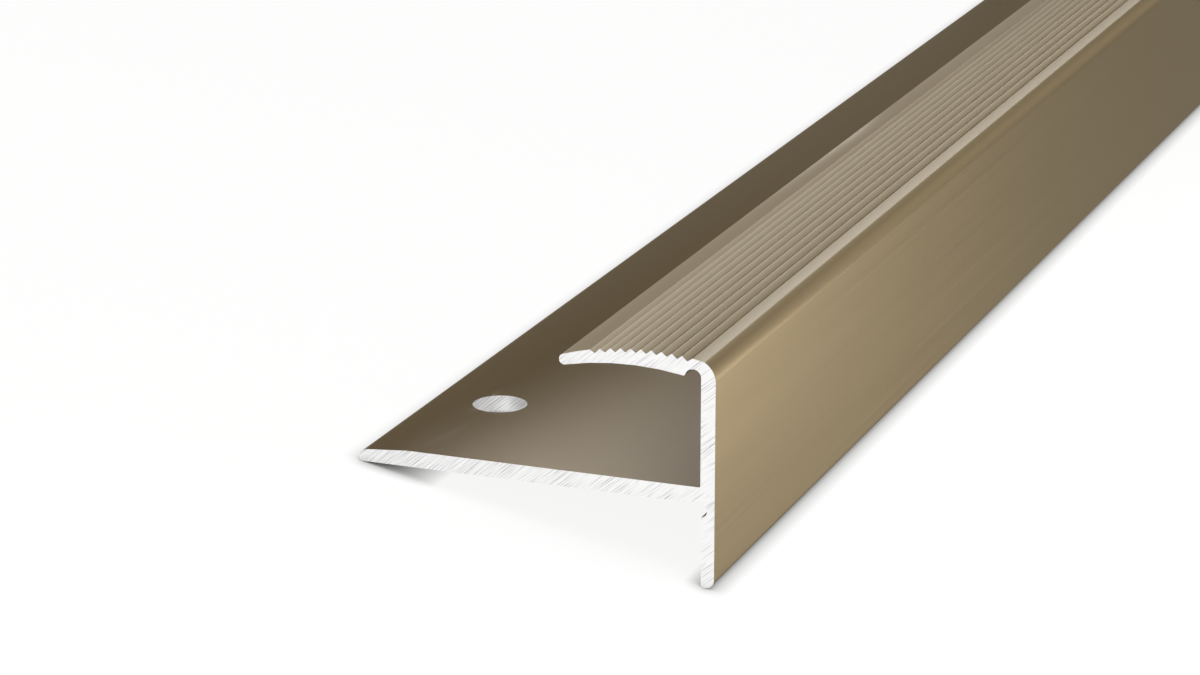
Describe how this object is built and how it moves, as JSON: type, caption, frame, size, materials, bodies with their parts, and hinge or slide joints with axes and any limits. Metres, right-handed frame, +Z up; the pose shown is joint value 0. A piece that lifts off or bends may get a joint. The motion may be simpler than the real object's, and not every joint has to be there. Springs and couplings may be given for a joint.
{
  "type": "stair nosing",
  "caption": "Extruded aluminium stair nosing with a ribbed arched cover, a floor covering slot, a screw-down base strip and a short front apron, in satin bronze anodising.",
  "frame": {"origin": "middle of the length and of the depth, on the floor that the nosing lies on", "axes": "+Y along the length, +X towards the front plate, +Z up. The nosing lies unheld on the base's rear edge and the apron's foot, so its section leans back 13.4 degrees from how it is fitted"},
  "size_m": [0.041, 1, 0.0238],
  "materials": {
    "anodised_aluminium": "satin bronze anodised, with bare sawn ends and bare hole walls"
  },
  "bodies": {
    "root": {"stair_nosing": "anodised_aluminium"}
  },
  "joints": []
}
